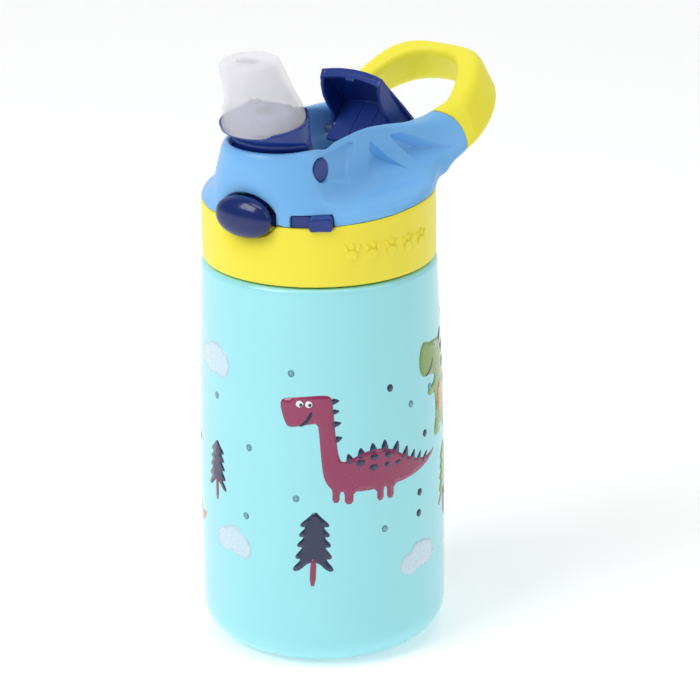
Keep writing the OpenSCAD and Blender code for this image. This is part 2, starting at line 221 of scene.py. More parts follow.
def poly(u, v, points):
    """Signed distance to a closed outline."""
    best, inside = None, None
    for (a, b), (c, d) in zip(points, points[1:] + points[:1]):
        eu, ev = c - a, d - b
        wu, wv = u - a, v - b
        t = np.clip((wu * eu + wv * ev) / (eu * eu + ev * ev + 1e-12), 0, 1)
        q = (wu - eu * t) ** 2 + (wv - ev * t) ** 2
        best = q if best is None else np.minimum(best, q)
        if ev != 0:
            flip = ((b > v) != (d > v)) & (wu < eu * wv / ev)
            inside = flip if inside is None else inside ^ flip
    return np.where(inside, -1, 1) * np.sqrt(best)


def mesh_field(field, low, high, h):
    """Vertices, quads and normals of the field's surface, by surface nets drawn onto the surface."""
    axes = [np.arange(a, b + h, h, dtype=np.float32) for a, b in zip(low, high)]
    x, y, z = axes[0][:, None, None], axes[1][None, :, None], axes[2][None, None, :]
    shape = tuple(len(a) for a in axes)
    values = np.broadcast_to(field(x, y, z), shape).astype(np.float32)
    inside = values < 0
    cells = tuple(n - 1 for n in shape)
    count = np.zeros(cells, np.int8)
    for i in (0, 1):
        for j in (0, 1):
            for k in (0, 1):
                count += inside[i : i + cells[0], j : j + cells[1], k : k + cells[2]]
    mixed = (count > 0) & (count < 8)
    number = np.full(cells, -1, np.int64)
    at = np.stack(np.nonzero(mixed), 1)
    number[mixed] = np.arange(len(at))
    total, hits = np.zeros((len(at), 3)), np.zeros(len(at))
    for axis in range(3):
        others = [a for a in range(3) if a != axis]
        for i in (0, 1):
            for j in (0, 1):
                start = np.zeros(3, int)
                start[others] = i, j
                end = start.copy()
                end[axis] = 1
                f0 = values[tuple((at + start).T)]
                f1 = values[tuple((at + end).T)]
                cross = (f0 < 0) != (f1 < 0)
                t = np.where(cross, f0 / np.where(cross, f0 - f1, 1), 0)
                point = np.tile(start.astype(float), (len(at), 1))
                point[:, axis] = t
                total += point * cross[:, None]
                hits += cross
    verts = (at + total / hits[:, None]) * h + np.array([a[0] for a in axes])
    quads = []
    for axis in range(3):
        u, v = [(1, 2), (2, 0), (0, 1)][axis]
        lower = [slice(1, -1)] * 3
        upper = [slice(1, -1)] * 3
        lower[axis], upper[axis] = slice(0, -1), slice(1, None)
        s0, s1 = inside[tuple(lower)], inside[tuple(upper)]
        base = np.stack(np.nonzero(s0 != s1), 1)
        first = s0[tuple(base.T)]
        base[:, [u, v]] += 1
        corners = []
        for du, dv in ((-1, -1), (0, -1), (0, 0), (-1, 0)):
            c = base.copy()
            c[:, u] += du
            c[:, v] += dv
            corners.append(number[tuple(c.T)])
        q = np.stack(corners, 1)
        quads.append(np.where(first[:, None], q, q[:, ::-1]))
    quads = np.concatenate(quads)

    def slope(p):
        e = 0.03
        f0 = field(*p.T)
        return f0, np.stack([field(*(p + e * np.eye(3)[a]).T) - f0 for a in range(3)], 1) / e

    for _ in range(3):
        f0, g = slope(verts)
        move = -f0[:, None] * g / np.maximum((g * g).sum(1), 0.05)[:, None]
        verts = verts + np.clip(move, -0.5 * h, 0.5 * h)
    _, g = slope(verts)
    return verts, quads, g / np.maximum(np.linalg.norm(g, axis=1), 1e-9)[:, None]


def field_piece(name, field, low, high, h, body, mat, node=None):
    """A piece from a field written in the lid's own heights."""
    verts, quads, normals = mesh_field(field, low, high, h)
    verts[:, 2] += MOUTH_Z
    return make(name, verts, quads, body, mat, node, normals)


def loft(rings, closed=False):
    """Vertices and quads of a skin over rings with equal counts, each ring closed on itself."""
    n, m = len(rings[0]), len(rings)
    verts = np.concatenate(rings)
    quads = [
        (i * n + k, i * n + (k + 1) % n, ((i + 1) % m) * n + (k + 1) % n, ((i + 1) % m) * n + k)
        for i in range(m if closed else m - 1)
        for k in range(n)
    ]
    return verts, quads


def lathe(profile, n=160):
    """Closed skin of an (r, z) outline turned round Z."""
    a = np.linspace(0, 2 * math.pi, n, endpoint=False)
    return loft([np.stack([r * np.cos(a), r * np.sin(a), np.full(n, z)], 1) for r, z in profile], True)


# Bottle -------------------------------------------------------------------------------------

BODY_R, STRAIGHT_Z, SHOULDER_Z, NECK_R = 36.0, 52.0, 116.0, 29.6


def wall_r(z):
    """Outer radius of the body at a height."""
    u = np.clip((z - STRAIGHT_Z) / (SHOULDER_Z - 1.5 - STRAIGHT_Z), 0, 1)
    return BODY_R - 1.8 * u**1.3


def body_outline(t):
    """The shell's wall, drawn in by t from the outside."""
    points = [(24.0, t), (25.0, t)]
    points += arc(BODY_R - 10, 10, 10 - t, -88, 0, 18)
    points += [(float(wall_r(z)) - t, z) for z in np.arange(16, SHOULDER_Z - 2, 4.0)]
    points += arc(32.6, SHOULDER_Z - 1.6, 1.6 - t, 4, 86, 8)
    return points + [(NECK_R, SHOULDER_Z - t)]


outline = body_outline(0.0) + body_outline(0.8)[::-1]
verts, quads = lathe(outline, 192)
make("body_shell", verts, quads, "bottle", PAINT, "outer_shell")

# Printed artwork ----------------------------------------------------------------------------


def on_wall(points, lift):
    """Places (round the front, height) on the body's wall."""
    p = np.asarray(points, float)
    a = p[:, 0] / BODY_R
    r = wall_r(p[:, 1]) + lift
    return np.stack([r * np.sin(a), -r * np.cos(a), p[:, 1]], 1)


def on_collar(points, lift):
    p = np.asarray(points, float)
    a = p[:, 0] / COLLAR_R
    r = COLLAR_R + lift
    return np.stack([r * np.sin(a), -r * np.cos(a), p[:, 1]], 1)


def resample(outline, length):
    """The closed outline in steps no longer than length."""
    out = []
    for p, q in zip(outline, outline[1:] + outline[:1]):
        n = max(1, math.ceil(math.dist(p, q) / length))
        out += [(p[0] + (q[0] - p[0]) * i / n, p[1] + (q[1] - p[1]) * i / n) for i in range(n)]
    return out


def wrapped(outlines, place, top, under, grid=1.4):
    """Closed thin slabs wrapped on a round wall, one for each outline."""
    all_verts, all_faces = [], []
    for outline in outlines:
        edge = resample([tuple(p) for p in outline], grid * 0.8)
        us, vs = zip(*edge)
        gu, gv = np.meshgrid(np.arange(min(us), max(us), grid), np.arange(min(vs), max(vs), grid))
        gu, gv = gu.ravel(), gv.ravel()
        keep = poly(gu, gv, edge) < -0.35 * grid if len(gu) else []
        inner = list(zip(gu[keep], gv[keep])) if len(gu) else []
        points = [Vector(p) for p in edge + inner]
        n = len(edge)
        flat, _, tris, *_ = delaunay_2d_cdt(points, [], [list(range(n))], 1, 1e-5)
        flat = [tuple(p) for p in flat]
        start = sum(len(v) for v in all_verts)
        m = len(flat)
        all_verts += [place(flat, top), place(flat, under)]
        tris = [tuple(t) for t in tris]
        rim = {}
        for t in tris:
            for a, b in zip(t, t[1:] + t[:1]):
                rim[(a, b)] = True
        all_faces += [tuple(start + i for i in t) for t in tris]
        all_faces += [tuple(start + m + i for i in t[::-1]) for t in tris]
        all_faces += [
            (start + a, start + m + a, start + m + b, start + b) for a, b in rim if (b, a) not in rim
        ]
    return np.concatenate(all_verts), all_faces


def printed(name, mat, outlines, layer=0):
    """One colour of the print, on the wall or on top of earlier layers."""
    verts, faces = wrapped(outlines, on_wall, 0.05 + 0.04 * layer, -0.2)
    return make(name, verts, faces, "bottle", mat)


def oval(u, v, a, b=None, tip=0.0, n=20):
    b = a if b is None else b
    c, s = math.cos(math.radians(tip)), math.sin(math.radians(tip))
    out = []
    for t in np.linspace(0, 2 * math.pi, n, endpoint=False):
        p, q = a * math.cos(t), b * math.sin(t)
        out.append((u + p * c - q * s, v + p * s + q * c))
    return out


def stroke(points, widths):
    """A brush stroke along a curve, as an outline."""
    p = np.array(points, float)
    d = np.gradient(p, axis=0)
    n = np.stack([-d[:, 1], d[:, 0]], 1) / np.linalg.norm(d, axis=1)[:, None]
    w = np.asarray(widths, float)[:, None] / 2
    return chaikin([tuple(q) for q in np.concatenate([p + n * w, (p - n * w)[::-1]])], 2)


def spike(u, v, wide, tip_u, tip_v):
    """A leaf-shaped spike from a base centre to a tip."""
    du, dv = tip_u - u, tip_v - v
    reach = math.hypot(du, dv)
    nu, nv = -dv / reach, du / reach
    half = wide / 2
    side = lambda s, t, k: (u + du * t + nu * half * s * k, v + dv * t + nv * half * s * k)
    return chaikin([side(1, -0.25, 1), side(1, 0.35, 0.75), (tip_u, tip_v), side(-1, 0.35, 0.75),
        side(-1, -0.25, 1)], 1)


def fir(u, top, size, lean=0.0):
    """A fir tree's branches and its trunk, with the tip at (u, top)."""
    half = [(0, 0), (1.7, -1.9), (4.2, -4.1), (4.1, -5.1), (2.3, -5.0), (4.5, -7.3), (4.3, -8.2),
        (2.7, -8.1)]
    half += [(5.0, -10.5), (4.7, -11.4), (3.0, -11.3), (5.4, -14.1), (5.1, -15.1), (3.4, -15.0)]
    half += [(6.0, -18.0), (5.7, -19.0), (4.0, -18.7), (1.4, -16.0)]
    both = half + [(-a, b) for a, b in half[:0:-1]]
    place = lambda p: (u + size * (p[0] + lean * p[1]), top + size * p[1])
    trunk = [(-0.85, -15.0), (0.85, -15.0), (0.85, -23.4), (-0.85, -23.4)]
    return chaikin([place(p) for p in both], 2), chaikin([place(p) for p in trunk], 1)


MAROON = material("print_maroon", (154, 42, 90), 0.22, coat=0.5, bump=0.01, tint=0.06)
TREE_NAVY = material("print_navy", (18, 34, 78), 0.22, coat=0.5, bump=0.01, tint=0.08)
CLOUD = material("print_cloud", (206, 232, 247), 0.24, coat=0.5, bump=0.01, tint=0.03)
GREEN = material("print_green", (122, 164, 70), 0.24, coat=0.5, bump=0.01, tint=0.06)
TEAL = material("print_teal", (86, 148, 168), 0.24, coat=0.5, bump=0.01, tint=0.05)
TEAL_PALE = material("print_teal_pale", (118, 178, 194), 0.24, coat=0.5, bump=0.01, tint=0.05)
ORANGE = material("print_orange", (228, 150, 96), 0.24, coat=0.5, bump=0.01, tint=0.05)
EYE = material("print_white", (246, 248, 250), 0.24, coat=0.5, bump=0.01, tint=0.02)

long_neck = [(11.6, 82.2), (12.4, 84.0), (18.5, 84.7), (25.0, 85.2), (26.8, 84.4), (27.2, 80),
    (27.5, 75), (28.0, 70)]
long_neck += [(28.6, 66), (29.6, 64.7), (31.5, 65.2), (34, 66.3), (37, 67.3), (40, 67.6), (43.5, 67),
    (46, 66)]
long_neck += [(49, 64), (52, 62.4), (55.5, 60.9), (59, 60.2), (62, 60.7), (64.6, 61.7), (61.5, 59.1),
    (57.5, 57.7)]
long_neck += [(53.5, 56.7), (49.5, 56.1), (45.4, 55.8), (45.3, 51.7), (43.1, 51.7), (43.1, 55.6),
    (42.0, 55.6)]
long_neck += [(41.9, 51.7), (39.8, 51.7), (39.9, 55.5), (36, 55.4), (32.6, 55.6), (32.5, 51.9),
    (30.0, 51.9)]
long_neck += [(30.0, 55.8), (28.6, 55.9), (28.5, 52.6), (26.4, 52.6), (26.6, 56.5), (25.2, 57.9),
    (24.2, 60)]
long_neck += [(23.7, 63), (23.3, 68), (23.0, 73), (22.6, 76.8), (19.7, 76.4), (16.5, 75.7),
    (14.2, 75.4), (13.2, 76.4), (12.3, 79)]

tree_1, trunk_1 = fir(21.5, 50.2, 1.0, 0.05)
tree_2, trunk_2 = fir(-12.6, 66.2, 0.8, 0.02)
tree_3, trunk_3 = fir(-62.0, 98.0, 0.85, 0.0)
tree_4, trunk_4 = fir(100.0, 58.0, 0.9, 0.0)
fern_1, stalk_1 = fir(73.6, 60.5, 1.0, 0.0)
fern_2, stalk_2 = fir(-90.0, 50.0, 0.9, 0.0)
printed("print_long_neck", MAROON, [chaikin(long_neck, 1)])
printed("print_trunks", MAROON, [trunk_1, trunk_2, trunk_3, trunk_4], 1)
spikes = [spike(27.2, 83.2, 2.0, 29.2, 83.4), spike(27.2, 80.1, 1.8, 29.2, 80.3),
    spike(27.4, 76.4, 2.0, 29.7, 76.7)]
spikes += [spike(27.9, 71.8, 2.1, 29.9, 72.4), spike(31.8, 64.9, 2.6, 31.1, 67.6),
    spike(35.2, 66.2, 2.7, 34.9, 69.0)]
spikes += [spike(38.9, 67.2, 2.6, 38.6, 69.9), spike(42.6, 67.1, 2.7, 42.7, 70.3),
    spike(46.3, 65.5, 2.8, 47.4, 69.0)]
spikes += [spike(49.8, 63.3, 2.6, 50.9, 66.6), spike(52.8, 61.7, 2.2, 54.0, 64.6),
    spike(55.6, 60.7, 1.9, 56.9, 63.4)]
spikes += [spike(58.4, 60.0, 1.7, 60.2, 62.4)]
printed("print_trees", TREE_NAVY, [tree_1, tree_2, tree_3, tree_4] + spikes)
spots = [oval(34.9, 64.1, 1.4, 1.0), oval(39.1, 65.2, 1.3, 0.95), oval(38.9, 62.1, 1.35, 1.0)]
spots += [oval(43.7, 65.1, 1.2, 0.9), oval(43.3, 62.2, 0.9, 0.75), oval(47.2, 62.0, 0.95, 0.75)]
smile = stroke([(17.3, 75.9), (18.3, 76.3), (19.5, 77.3), (20.4, 78.8), (20.9, 80.2)],
    [0.5, 0.8, 1.0, 1.0, 0.7])
printed("print_spots", TREE_NAVY, spots + [smile], 1)
printed("print_eyes", EYE, [oval(17.4, 82.5, 1.1, 1.0), oval(20.1, 82.4, 1.05, 1.0),
    oval(67.6, 92.0, 0.9, 0.9)], 1)
printed("print_pupils", TREE_NAVY, [oval(17.8, 82.2, 0.5), oval(20.4, 82.2, 0.5),
    oval(67.3, 91.8, 0.45)], 2)

# clouds, the last three copied round the back
clouds = [
    [(-22.5, 90.5), (-21, 93.0), (-17.2, 94.6), (-13.5, 95.6), (-10.4, 94.6), (-7.6, 92.9),
        (-6.6, 89.8), (-7.8, 86.8)]
    + [(-10.8, 85.6), (-14, 86.4), (-17.4, 85.9), (-21.3, 87.2)],
    [(-13.2, 36.6), (-11.6, 39.2), (-9.0, 40.2), (-4.9, 41.5), (-2.2, 40.0), (0.3, 38.3), (1.4, 35.0),
        (-0.2, 32.3)]
    + [(-3.4, 32.4), (-6.4, 33.4), (-9.8, 32.8), (-12.8, 34.3)],
    [(47.6, 29.6), (49.2, 32.0), (52.0, 33.0), (53.8, 34.8), (58.4, 34.6), (61.6, 33.6), (63.3, 30.8),
        (62.4, 28.0)]
    + [(58.6, 26.6), (55.4, 26.8), (52.4, 25.6), (48.6, 26.8)],
]
for du, dv in ((120, -8), (-40, 8), (-95, -4)):
    clouds.append([(u + du, v + dv) for u, v in clouds[0]])
printed("print_clouds", CLOUD, [curve(c, 4, True) for c in clouds])

dots = [(15, 91.4), (1.2, 67.2), (16, 53.8), (-0.2, 45.9), (52.8, 78.2), (42.2, 42.5), (-12.8, 79.6),
    (62.6, 80.6)]
dots += [(-36, 96), (-44, 70), (-52, 30), (-74, 78), (-100, 84), (92, 76), (84, 40), (110, 30),
    (-28, 62), (100, 98)]
printed("print_dots", TEAL, [oval(u, v, 0.98, 1.05) for u, v in dots])
printed("print_dot_centres", TEAL_PALE, [oval(u + 0.05, v, 0.62, 0.68) for u, v in dots], 1)
dark = [(44.9, 84.9), (59.1, 67.4), (55.9, 50.2), (55.4, 43.8), (-34, 84), (-66, 46), (-106, 60),
    (106, 70), (80, 98)]
printed("print_dark_dots", TREE_NAVY, [oval(u, v, 1.05, 1.15) for u, v in dark])

upright = [(57.2, 87.6), (57.2, 90.2), (58.2, 93.4), (60.0, 95.0), (62.5, 94.0), (66.0, 93.6),
    (70.5, 93.4), (73.5, 91.6)]
upright += [(74.8, 88.0), (75.6, 83.0), (77.6, 77.0), (80.5, 73.2), (85.0, 71.4), (90.5, 71.8),
    (86.0, 68.4)]
upright += [(80.5, 67.4), (77.6, 67.0), (77.4, 64.2), (73.6, 64.2), (73.4, 67.2), (70.0, 67.0),
    (69.8, 64.4)]
upright += [(65.2, 64.2), (65.0, 67.0), (66.4, 70.0), (66.6, 74.0), (66.2, 78.2), (63.0, 77.6),
    (61.2, 78.6)]
upright += [(62.0, 80.4), (65.6, 81.0), (66.4, 83.6), (62.5, 84.2), (59.6, 84.2), (58.0, 85.4)]
printed("print_upright", GREEN, [chaikin(upright, 2)])
printed("print_ferns", GREEN, [fern_1, fern_2])
printed("print_stalks", MAROON, [stalk_1, stalk_2], 1)
printed("print_belly", ORANGE, [oval(71.0, 75.2, 2.6, 4.6, -8), oval(-40.0, 42.0, 1.2, 1.0),
    oval(-45.0, 43.0, 1.4, 1.1)], 1)
ridge = [spike(75.0, 88.5, 3.0, 78.2, 90.4), spike(75.8, 83.5, 3.0, 79.0, 85.2),
    spike(78.2, 77.8, 3.0, 81.6, 79.8)]
ridge += [spike(72.4, 92.4, 3.0, 74.6, 95.6), spike(83.2, 72.6, 2.6, 85.6, 75.2)]
grin = stroke([(60.4, 84.4), (62.2, 84.7), (64.4, 86.2), (65.4, 88.6)], [0.4, 0.7, 0.8, 0.5])
printed("print_ridge", TREE_NAVY, ridge + [grin], 1)
low_runner = [(-21.0, 40.4), (-24.5, 37.0), (-29.0, 34.6), (-33.5, 34.0), (-34, 30.2), (-36.4, 30.2),
    (-37, 34)]
low_runner += [(-43, 33.8), (-43.6, 30), (-46.2, 30), (-46.6, 34.2), (-50, 36.4), (-54.6, 36.4),
    (-58.6, 38.4)]
low_runner += [(-60, 42.0), (-57.2, 45.2), (-52.4, 45.8), (-49.0, 43.6), (-45.4, 46.0), (-40, 46.2),
    (-34, 42.8)]
low_runner += [(-28.4, 39.0), (-24.4, 39.4)]
printed("print_low_runner", ORANGE, [chaikin(low_runner, 2)])
printed("print_runner_eye", TREE_NAVY, [oval(-55.2, 42.6, 0.7), spike(-47.0, 45.4, 2.6, -47.4, 48.4),
    spike(-42.6, 46.0, 2.6, -42.8, 49.0), spike(-37.8, 44.8, 2.6, -37.0, 47.6)], 1)

# Collar -------------------------------------------------------------------------------------

COLLAR_R, COLLAR_LOW = 33.8, -13.6


def seam(y):
    """Height of the tilted seam between the collar and the housing."""
    return 5.55 + 0.055 * y


def scoop(x, y, z):
    """Shallow dish round the button, shared by the collar and the housing."""
    s = np.sqrt((x / 40.0) ** 2 + ((y + 41.0) / 9.1) ** 2 + ((z - 5.6) / 16.5) ** 2)
    return (s - 1) * 9.1


def slot(x, y, z, grow=0.0):
    """The lock's slot, measured round the collar from the front."""
    along = np.arctan2(x, -y) * COLLAR_R
    du = np.abs(along - 20.4) - 6.3 - grow
    dv = np.abs(z - 5.45) - 1.85 - grow
    return smax(smax(du, dv, 0.8), 31.4 - np.hypot(x, y), 0.2)


BUTTON_Z = 5.7


def button_well(x, y, z):
    """Oval hole behind the button."""
    s = np.sqrt((x / 9.85) ** 2 + ((z - BUTTON_Z) / 6.25) ** 2)
    return np.maximum((s - 1) * 6.5, y + 31.2)


def cut_round_button(d, x, y, z, soft):
    d = smax(d, -scoop(x, y, z), soft)
    d = smax(d, -button_well(x, y, z), 0.4)
    stem = np.maximum((np.sqrt((x / 8.5) ** 2 + ((z - BUTTON_Z) / 2.4) ** 2) - 1) * 2.4, y + 28.0)
    flange = np.maximum(np.maximum(np.abs(x) - 8.7, np.abs(y + 29.6) - 1.6), np.abs(z - 5.3) - 1.9)
    d = np.maximum(d, -np.minimum(stem, flange))
    return smax(d, -slot(x, y, z), 0.35)


def collar_field(x, y, z):
    r = np.hypot(x, y)
    outer = smax(r - COLLAR_R, COLLAR_LOW - z, 1.2)
    wall = smax(outer, 31.2 - r, 0.4)
    d = smax(wall, z - seam(y) + 0.04, 0.35)
    d = cut_round_button(d, x, y, z, 1.2)
    shelf = np.maximum(np.maximum(r - 32.2, 30.3 - r), np.maximum(0.6 - z, z - 1.35))
    return np.minimum(d, shelf)


field_piece(
    "collar_ring", collar_field, (-35, -35, -14.6), (35, 35, 9), 0.5, "lid", YELLOW,
        "collar"
)


def footprint(u, v, size):
    """A three-toed footprint as four rounded outlines."""
    pad = [(0, -1.9), (1.5, -1.2), (1.6, 0.1), (0.8, 0.9), (-0.8, 0.9), (-1.6, 0.1), (-1.5, -1.2)]
    toes = [oval(u + size * a, v + size * b, size * 0.5, size * 0.95, t, 14) for a, b,
        t in ((-1.6, 1.5, 22), (0, 2.1, 0), (1.6, 1.5, -22))]
    return [chaikin([(u + size * a, v + size * b) for a, b in pad], 2), *toes]


prints = [outline for i in range(5) for outline in footprint(31.6 + 6.3 * i, 126.0 - 0.12 * i, 1.12)]
verts, faces = wrapped(prints, on_collar, 0.3, -0.3, 0.8)
make("collar_footprints", verts, faces, "lid", YELLOW)

# Housing and carrying loop ------------------------------------------------------------------

# turning axes (y, z) of the spout's carrier and of the cover
SPOUT_AXIS = (-20.0, 18.5)
COVER_AXIS = (23.0, 16.0)
TRUNNION_R, TRUNNION_HOLE = 3.4, 3.52
PIN_HOLE = 1.31

TOP = [(-36, 24.2), (-28, 24.3), (-22, 24.8), (-15.5, 25.9), (-8.9, 26.7), (-2.2, 27.3), (2.3, 27.3),
    (6.8, 26.6)]
TOP += [(16, 24.4), (20.6, 23.5), (27.6, 22.8), (31.5, 22.9), (36, 24.1), (42, 26.4), (47, 29.0),
    (53, 32.4), (60, 35.7)]
TOP += [(66, 37.9), (72, 39.9), (80, 42.0)]
BOTTOM = [(80, 28.4), (72, 25.9), (66, 23.8), (60, 21.2), (54, 18.2), (48, 15.4), (40, 12.2), (32, 8.6),
    (24, 5.6), (10, 3.0)]
SIDE = curve(TOP, 3) + curve(BOTTOM, 3) + [(-36, 3.0)]


def ring_half(w, y0, y1, start, square):
    """Right half of a superellipse loop from the height y=start round to the far side."""
    out = []
    for t in np.linspace(0, 90, 25):
        x = w * math.cos(math.radians(t)) ** square
        y = y0 + (y1 - y0) * math.sin(math.radians(t)) ** square
        if y > start:
            out.append((max(x, 0.0), y))
    return out


def both_halves(half):
    """A closed outline from its right half, drawn from the front centre to the back centre."""
    return half + [(-x, y) for x, y in half[::-1] if x > 1e-6]


OUTER_HALF = arc(0, -16, 17.5, -90, 0, 16) + curve([(17.5, 2), (18.2, 13), (20.4, 24), (22.4, 32),
    (23.2, 37.5)], 3)
OUTER = both_halves(OUTER_HALF + ring_half(24.3, 23.7, 65.9, 39.5, 0.61))
INNER_HALF = arc(0, -16, 14.8, -90, 0, 14) + [(14.4, -12)] + curve([(14.4, 27), (15.2, 31), (16.6, 36),
    (17.6, 40)], 3)
INNER = both_halves(INNER_HALF + ring_half(19.2, 17, 60.8, 42.5, 0.76))
HANDLE_SEAM = [(29, 34)] + curve([(32.6, 24.6), (36.6, 21.8), (38.4, 18.8), (38.8, 16), (38.4, 13),
    (37, 9)], 4)
HANDLE_SEAM += [(84, 2), (84, 48), (29, 48)]
LOOP_LEAN, LOOP_CLIMB = 0.43, 0.425


def band_lean(y, z):
    """How far the loop's band stands in from its plan outline, outwards below its middle."""
    middle = 17.7 + LOOP_CLIMB * (y - 36)
    return LOOP_LEAN * np.clip(z - middle, -9, 9) * step(y, 20, 38)


def plan_outer(x, y, z):
    """Distance to the wings' and the loop's outside, which leans in towards the wings' top."""
    lean = 0.19 * (17.0 - np.clip(z, 7, 30)) * (1 - step(y, 4, 28))
    return (poly(x, y, OUTER) - lean + band_lean(y, z)) * 0.95


def loop_field(x, y, z):
    band = smax(plan_outer(x, y, z), -poly(x, y, INNER) - band_lean(y, z), 2.0)
    return smax(band, poly(y, z, SIDE), 3.4)


def from_axis(y, z, axis):
    return np.hypot(y - axis[0], z - axis[1])


def facet(y, z, p, q):
    """Distance behind the line from p to q, positive on its left."""
    length = math.hypot(q[0] - p[0], q[1] - p[1])
    return ((q[0] - p[0]) * (z - p[1]) - (q[1] - p[1]) * (y - p[0])) / length


POCKET_1 = [(-20.2, 21.6), (-7.0, 23.0), (-5.2, 22.6), (-9.6, 12.8), (-18.0, 15.4)]
POCKET_2 = [(3.1, 21.4), (-0.2, 12.9), (0.8, 12.2), (13.4, 11.9)]
POCKET_3 = curve([(12.0, 21.2), (16.5, 21.0), (22.0, 19.4), (28.5, 16.4), (33.5, 13.6)], 3)
POCKET_3 += curve([(33.5, 12.8), (28.0, 11.6), (20.4, 11.5)], 3)
# outline, depth at the first edge, greatest depth, and (slope, from, to) for each facet of the floor
POCKETS = [
    (
        POCKET_1,
        0.6,
        1.0,
        [
            (0.05, (-18.0, 15.4), (-20.2, 21.6)),
            (0.45, (-8.8, 12.6), (-4.2, 22.8)),
            (0.8, (-18.0, 15.0), (-9.6, 12.4)),
        ],
    ),
    (
        POCKET_2,
        1.5,
        2.7,
        [
            (0.16, (-0.4, 12.2), (3.1, 22.0)),
            (1.0, (13.8, 11.8), (3.1, 21.8)),
            (0.55, (-0.4, 12.0), (13.8, 11.4)),
        ],
    ),
    (
        POCKET_3,
        1.7,
        3.8,
        [
            (0.12, (20.4, 11.5), (12.0, 21.4)),
            (0.75, (35.0, 13.4), (11.5, 23.4)),
            (0.5, (20.4, 10.8), (35.0, 13.6)),
        ],
    ),
]

# the housing's low dome, in front and behind
DOME_FRONT = [(0, 1.4), (33.8, 1.4), (33.8, 4.0), (33.4, 5.4), (32.4, 6.8), (30.4, 8.0), (26, 9.0),
    (17, 10.1), (0, 10.3)]
DOME_BACK = [(0, 1.4), (33.8, 1.4), (33.8, 7.6), (33.4, 8.8), (32.4, 9.6), (30.4, 10.0), (26, 10.3),
    (17, 10.6), (0, 10.8)]


def housing_field(x, y, z):
    r = np.hypot(x, y)
    wings = loop_field(x, y, z)
    back = step(y, -4, 18)
    dome = poly(r, z, DOME_FRONT) * (1 - back) + poly(r, z, DOME_BACK) * back
    t = np.clip((z - 7.0) / 17.3, 0, 1.1) ** 0.9
    cone = (np.hypot(x, y + 16.0 * t) - (32.6 - 16.2 * t)) * 0.8
    cone = smax(cone, (y + 10.5 + 0.44 * np.abs(x)) * 0.9, 8.0)
    cone = smax(cone, poly(y, z, SIDE), 2.4)
    cone = np.maximum(cone, 2.0 - z)
    edge = 6.0 * np.clip((34.4 - r) / 4, 0.05, 1)
    reach = edge + (10.0 - edge) * step(y, 2, 20)
    d = smin(smin(cone + 0.5, wings, 3.0), dome, reach)
    side = smax(plan_outer(x, y, z), poly(y, z, SIDE), 2.6)
    face = smin(smin(cone + 0.5, side, 3.0), dome, reach)
    # the trough, the hollow under the deck and the cuts round the collar
    room = poly(x, y, INNER) + band_lean(y, z)
    trough = np.maximum(np.maximum(room, 3.4 - z), np.minimum(y - 29.5, 13.5 - z))
    d = smax(d, -trough, 1.3)
    under = poly(r, z, [(0, -5), (31, -5), (31, 3.4), (30, 3.4), (30, 5.4), (18, 7.6), (0, 7.6)])
    under = np.maximum(under, np.minimum(z - 3.4, -plan_outer(x, y, z)))
    d = np.maximum(d, -under)
    d = np.maximum(d, 1.4 - z)
    d = smax(d, np.minimum(seam(y) + 0.04 - z, r - 32.1), 0.35)
    d = cut_round_button(d, x, y, z, 2.4)
    latch = np.maximum(np.maximum(np.abs(x) - 9, np.abs(y + 28) - 2.9), np.abs(z - 6.5) - 4.6)
    d = np.maximum(d, -latch)
    # pockets in the wings' outsides, measured from the uncut surface
    for outline, start, deep, sides in POCKETS:
        (slope, p, q), *walls = sides
        floor = smin(start + slope * np.abs(facet(y, z, p, q)), deep, 0.2)
        for slope, p, q in walls:
            floor = smin(floor, slope * facet(y, z, p, q), 0.15)
        recess = smax(poly(y, z, outline) - 0.3, -face - floor, 0.1)
        d = smax(d, -recess, 0.15)
    d = smax(d, TRUNNION_HOLE - from_axis(y, z, SPOUT_AXIS), 0.3)
    return smax(d, 0.03 - poly(y, z, HANDLE_SEAM), 0.3)


def handle_field(x, y, z):
    return smax(loop_field(x, y, z), poly(y, z, HANDLE_SEAM) + 0.03, 0.3)


field_piece(
    "lid_housing", housing_field, (-35, -35, 0.4), (35, 47, 29), 0.42, "lid", BLUE,
        "housing"
)
field_piece(
    "loop_grip", handle_field, (-29, 32, 8), (29, 71, 41), 0.5, "lid", GRIP,
        "handle_grip"
)

# Spout and its carrier ----------------------------------------------------------------------


def ring_oval(y, z, a, b, tip, n=72):
    """A tipped ellipse as a ring of points, front low."""
    t = np.linspace(0, 2 * math.pi, n, endpoint=False)
    s = math.radians(tip)
    v = b * np.sin(t)
    return np.stack([a * np.cos(t), y + v * math.cos(s), z + v * math.sin(s)], 1)


def smooth_rings(rows, n=4):
    return [ring_oval(*row) for row in curve(rows, n)]


outside = [(-24.4, 30.9, 12.5, 10.6, 13), (-24.4, 31.9, 12.65, 10.75, 12.6),
    (-24.6, 33.6, 12.2, 10.6, 12.2)]
outside += [(-25.1, 35.6, 11.6, 10.4, 11.4), (-25.6, 37.6, 10.6, 10.0, 10.6),
    (-26.2, 39.8, 9.75, 9.6, 9.8)]
outside += [(-26.9, 41.8, 9.4, 9.4, 9), (-28.0, 44.2, 9.15, 9.2, 8.2), (-29.3, 47.0, 8.85, 8.95, 7)]
top = [(-30.1, 48.7, 8.6, 8.7, 6.2), (-30.3, 49.35, 8.25, 8.35, 6), (-30.45, 49.8, 7.6, 7.7, 6),
    (-30.5, 50.0, 6.6, 6.7, 6)]
top += [(-30.6, 50.0, 4.8, 4.4, 6), (-30.7, 49.9, 3.7, 2.9, 6), (-30.7, 49.5, 3.35, 2.5, 6),
    (-30.7, 48.8, 3.3, 2.45, 6)]
